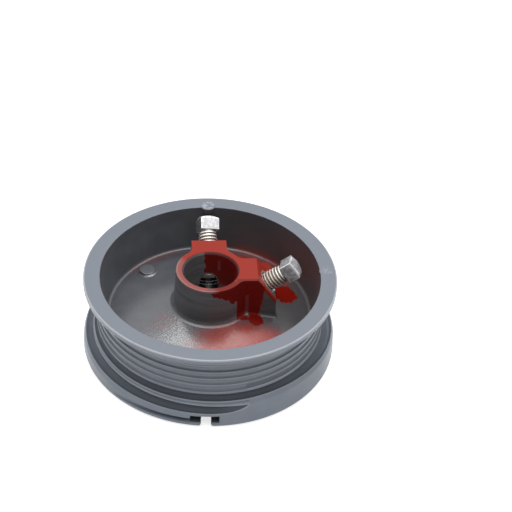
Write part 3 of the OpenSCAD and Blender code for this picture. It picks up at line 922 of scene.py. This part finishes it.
def skin_colour(s, patch, fleck, on_rim):
    """The pale outside with its scuffed rim, painted shade on the rim's top and in the groove, painted
    highlights on the edges, and the share of the groove's painted shade.
    """
    skin = s.blend(SKIN, SKIN_PATCH, patch)
    # Painted shade: the rim's up-facing top takes a darker copy of the skin.
    skin = s.blend(skin, RIM_FACE_SHADED, on_rim * 0.85)
    rear_pad, side_pad = (s.spot(at, (3.7, 3.7), fleck * 0.3) for at in ((0.95, 54.7), (56.5, 2.0)))
    scuffs = rear_pad.highest(side_pad * 0.4)
    chips = fleck.between(0.74, 0.8) * 0.4 + scuffs * fleck.between(0.45, 0.6) * 0.7
    skin = s.blend(skin, CHIPPED, on_rim * chips)
    # Painted highlight along the rim's outer top edge.
    edge = s.r.between(RIM_R - 0.8, RIM_R - 0.5) * s.z.between(RIM_TOP - 0.9, RIM_TOP - 0.7)
    skin = s.blend(skin, RIM_EDGE_HIGHLIGHT, edge * 0.8)
    groove_shade_share, bright, pocket = groove_shade_and_highlights(s)
    front = s.angle.near(-90, 90, 25)
    # Painted shade in the groove, stronger towards the front.
    skin = s.blend(skin, GROOVE_SHADE, groove_shade_share * (front * 0.5 + 0.36))
    # Painted highlights on the ridges' edges.
    skin = s.blend(skin, RIDGE_HIGHLIGHT, bright * 0.8)
    # Painted shadow in the slot's pockets.
    return s.blend(skin, POCKET_SHADOW, pocket), groove_shade_share


def cup_colour(s, patch, on_web, shaded):
    """The dull inside: the web, the cup's wall and the streaky hub, with painted shade towards the right
    and back, in the hub's corner by the side lug, on that lug's side and on the hub's front.
    """
    web = s.blend(s.blend(WEB, WEB_PATCH, patch), WEB_SHADE, shaded * 0.8)
    wall = s.blend(CUP, CUP_PATCH, patch)
    wall = s.blend(wall, CUP_SHADE, s.angle.near(40, 90, 30) * 0.75)
    streaks = s.noise(2.2, 2, stretch=(0.08, 0.08, 1)).between(0.35, 0.65)
    on_hub = s.r.between(40, 34)
    wall = s.blend(wall, s.blend(HUB, HUB_STREAK, streaks), on_hub)
    # Painted shade in the corner between the hub and the side lug, on the lug's side and on the hub's
    # front.
    corner = s.spot((17.4, -9.3), (2.2, 2.0), 0.0, 0.5) * 0.8
    lug_side_shade = s.spot((27, -9), (7, 3), 0.0, 0.5) * 0.6
    hub_front = s.y.between(-9, -17) * s.z.between(42, 29) * 0.5
    dim = corner.highest(lug_side_shade).highest(hub_front)
    wall = s.blend(wall, HUB_SHADE, dim * on_hub)
    return s.blend(wall, web, on_web)


def cast_surface():
    """Cast grey, pale outside and dull inside, with the red marks and the bare metal over it."""
    s = Surface("cast grey with red marks")
    blotch, fleck = s.noise(14, 3), s.noise(1.3, 2)
    patch = blotch.between(0.35, 0.65)
    on_web = s.r.between(HUB_WEB_R - 1.3, HUB_WEB_R - 0.3) * s.r.between(CUP_FLOOR_R + 2, CUP_FLOOR_R + 1)
    on_web = on_web * s.up.between(0.55, 0.8) * s.z.between(31, 29)
    on_rim = s.up.between(0.8, 0.95) * s.z.between(RIM_TOP - 1, RIM_TOP - 0.5)
    on_rim = on_rim * s.r.between(CUP_FLOOR_R, CUP_FLOOR_R + 0.4)
    # Painted shade on the web's right; it also lowers the web's shine there.
    shaded = s.angle.near(15, 60, 25)
    skin, groove_shade_share = skin_colour(s, patch, fleck, on_rim)
    hollow = s.up.between(-0.1, -0.3) * s.r.between(SKIRT_R + 0.5, SKIRT_R + 0.1)
    inside = s.r.between(CUP_MOUTH_R + 0.4, CUP_MOUTH_R).highest(hollow) * on_rim.inverse()
    grey = s.blend(skin, cup_colour(s, patch, on_web, shaded), inside)

    top, runs, solid, red = red_share(s, on_web)
    # Runs, puddles and bore paint take the darker red, which is painted shade where it stands for the hub's
    # dim front and the bore.
    colour = s.blend(grey, s.blend(RED, RED_RUN_SHADED, runs), red)
    toward = (s.x * WORN_SIDE[0] + s.y * WORN_SIDE[1]) * s.r.math("POWER", -1.0)
    worn = top * toward.between(0.3, 0.6) * ((s.r + blotch * 1.6).between(16.2, 17.2) * 0.45 + 0.32)
    colour = s.blend(colour, RED_WORN, worn)
    # Painted shade: the bore's chamfer darkened nearly to black.
    chamfer = s.r.between(*RED_EDGE[::-1]) * s.z.between(HUB_TOP - 1.2, HUB_TOP - 0.9)
    colour = s.blend(colour, CHAMFER_SHADE, chamfer * 0.8)

    tapped, crests = tapped_wall(s)
    # Painted shade in the tapped holes, with painted highlights for their threads' crests.
    colour = s.blend(s.blend(colour, HOLE_SHADE, tapped), HOLE_CREST_HIGHLIGHT, crests)
    bare = bare_ring(s)
    colour = s.blend(colour, BARE_METAL, bare)
    shine = on_web * (shaded * -0.6 + 0.55 - red * 0.45) + 0.45
    s.set(Base_Color=colour, Metallic=bare,
          Roughness=on_web * -0.08 + 0.32 + solid * 0.1 + groove_shade_share * 0.2,
          Specular_IOR_Level=(shine - solid * 0.25 - groove_shade_share * 0.3).highest(0.0))
    s.bump(s.noise(1.0, 1) * (on_web * 0.42 + 0.1), 0.12)
    return s.material


def zinc_surface():
    """Zinc plate with worn edges, and a warm thread with painted shade in its grooves and a painted
    highlight on its point. Both screws share it.
    """
    s = Surface("bright zinc")
    half = HEAD_W / 2
    rear = s.y.math("GREATER_THAN", s.x)
    fields = []
    for lug in LUG_ANGLES:
        depth, rise, aside, radius = along_screw(s, lug)
        spin, out = math.radians(SCREW_SPIN[lug]), SCREW_OUT[lug]
        across = (aside * math.sin(spin) - rise * math.cos(spin)).math("ABSOLUTE")
        upward = (aside * math.cos(spin) + rise * math.sin(spin)).math("ABSOLUTE")
        on_head, top = depth.between(out - 0.1, out + 0.1), out + HEAD_H
        corner = across.lowest(upward).between(half - 0.55, half - 0.25)
        end = across.highest(upward).between(half - 0.5, half - 0.2) * depth.between(top - 1.5, top - 0.9)
        point = depth.between(screw_point(lug) + 0.3, screw_point(lug) + 0.1)
        fields.append((radius, depth.between(out - 0.2, out - 0.4), point, on_head * corner.highest(end)))
    radius, on_thread, point, worn = (b * rear + a * rear.inverse() for a, b in zip(*fields))
    grain, blotch = s.noise(0.5, 3), s.noise(1.6, 3)
    plate = s.blend(ZINC_DULL, ZINC, blotch.between(0.36, 0.62).highest(rear * 0.5))
    plate = s.blend(plate, ZINC_WORN, worn * blotch.between(0.25, 0.5))
    colour = s.blend(plate, THREAD, on_thread)
    # The point is left bright and not metallic: a painted highlight on its end.
    plated = point.inverse()
    # Painted shade in the thread's roots, which are also rougher.
    groove = on_thread * radius.between(SCREW_R - 0.35, SCREW_R - 0.85) * plated
    colour = s.blend(colour, THREAD_ROOT_SHADE, groove * 0.85)
    s.set(Base_Color=colour, Metallic=plated,
          Roughness=grain.between(0.2, 0.8) * 0.12 + 0.32 + groove * 0.2)
    s.bump(grain, 0.03)
    return s.material


# The dressed object

drum_skin = grooved_drum()
subtract(drum_skin, *slot_cutters(), *[tapped_hole(lug) for lug in LUG_ANGLES])
drum_mesh = join("drum_dressed", [drum_skin, hub_with_lugs()] + pads())
drum = link_mesh("drum_dressed", drum_mesh, sharp=32)
flatten_shading(drum)
drum.data.materials.append(cast_surface())
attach(drum, "drum")
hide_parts("drum")

zinc = zinc_surface()
for lug in LUG_ANGLES:
    screw = setscrew(lug)
    screw.data.materials.append(zinc)
    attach(screw, lug + "_setscrew")
    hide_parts(lug + "_setscrew")


# Camera, light and floor

def look():
    """Camera at the photograph's place, from a perspective fit of the rim, the bore and the flange.

    The rim's centre shows left of and below the picture's middle, so aside and above are negative.
    """
    turn, elevation, roll = math.radians(5.5), math.radians(39.093), math.radians(3.09)
    distance, focal_px, image_px = 800.0, 1666.5, 512.0
    aside, above = -21.8, -8.93
    right = Vector((1, 0, 0))
    up = Vector((0, math.sin(elevation), math.cos(elevation)))
    forward = Vector((0, math.cos(elevation), -math.sin(elevation)))
    across = right * math.cos(roll) + up * math.sin(roll)
    upright = up * math.cos(roll) - right * math.sin(roll)
    back = Matrix.Rotation(-turn, 3, "Z")
    place_at = back @ (-forward * distance - across * aside - upright * above) + Vector((0, 0, RIM_TOP))
    data = bpy.data.cameras.new("camera")
    data.sensor_width = 36.0
    data.lens = focal_px * data.sensor_width / image_px
    data.clip_start, data.clip_end = 0.05, 20.0
    camera = bpy.data.objects.new("camera", data)
    axes = Matrix([back @ across, back @ upright, back @ -forward]).transposed()
    camera.matrix_world = Matrix.Translation(place_at * MM) @ axes.to_4x4()
    bpy.context.scene.collection.objects.link(camera)
    bpy.context.scene.camera = camera


def area_light(name, at, aim, size, power):
    """Rectangular lamp, in metres and watts."""
    data = bpy.data.lights.new(name, "AREA")
    data.shape, data.size, data.size_y, data.energy = "RECTANGLE", *size, power
    lamp = bpy.data.objects.new(name, data)
    lamp.location = at
    lamp.rotation_euler = (Vector(aim) - Vector(at)).to_track_quat("-Z", "Y").to_euler()
    bpy.context.scene.collection.objects.link(lamp)


def seen_directly(tree):
    """1 for what the camera sees, itself or in a reflection or through glass."""
    path = tree.nodes.new("ShaderNodeLightPath").outputs
    kinds = ("Camera", "Glossy", "Transmission")
    camera, glossy, through = (Field(tree, path[f"Is {kind} Ray"]) for kind in kinds)
    return camera.highest(glossy).highest(through)


def white_ground():
    """Pale floor that looks white to the camera and keeps the drum's shadow."""
    half = FLOOR_HALF
    corners = [(-half, -half, 0), (half, -half, 0), (half, half, 0), (-half, half, 0)]
    mesh = bpy.data.meshes.new("floor")
    mesh.from_pydata(corners, [], [(0, 1, 2, 3)])
    floor = bpy.data.objects.new("floor", mesh)
    floor.location.z = -FLOOR_DROP
    bpy.context.scene.collection.objects.link(floor)
    material = bpy.data.materials.new("floor")
    material.use_nodes = True
    tree = material.node_tree
    tree.nodes.remove(tree.nodes["Principled BSDF"])
    diffuse = tree.nodes.new("ShaderNodeBsdfDiffuse")
    diffuse.inputs["Color"].default_value = (*FLOOR, 1)
    glow = tree.nodes.new("ShaderNodeEmission")
    both = tree.nodes.new("ShaderNodeAddShader")
    feed(tree, glow.inputs["Strength"], seen_directly(tree) * FLOOR_GLOW)
    tree.links.new(diffuse.outputs[0], both.inputs[0])
    tree.links.new(glow.outputs[0], both.inputs[1])
    tree.links.new(both.outputs[0], tree.nodes["Material Output"].inputs["Surface"])
    floor.data.materials.append(material)


def studio_world():
    """White where it is seen, and dim as a light."""
    world = bpy.data.worlds.new("studio")
    world.use_nodes = True
    bpy.context.scene.world = world
    tree = world.node_tree
    backdrop = tree.nodes["Background"]
    made = tree.nodes.new("ShaderNodeMix")
    made.data_type = "RGBA"
    feed(tree, made.inputs[0], seen_directly(tree))
    made.inputs[6].default_value = (*DIM_WORLD, 1)
    made.inputs[7].default_value = (*WHITE, 1)
    tree.links.new(made.outputs[2], backdrop.inputs["Color"])


look()
area_light("overhead", at=(0.0, -0.1, 1.0), aim=(0.0, -0.1, 0.0), size=(1.4, 1.2), power=9.6)
area_light("back strip", at=(0.04, 0.52, 1.0), aim=(0.04, 0.52, 0.0), size=(0.52, 0.26), power=3.6)
white_ground()
studio_world()
bpy.context.scene.view_settings.view_transform = "Standard"
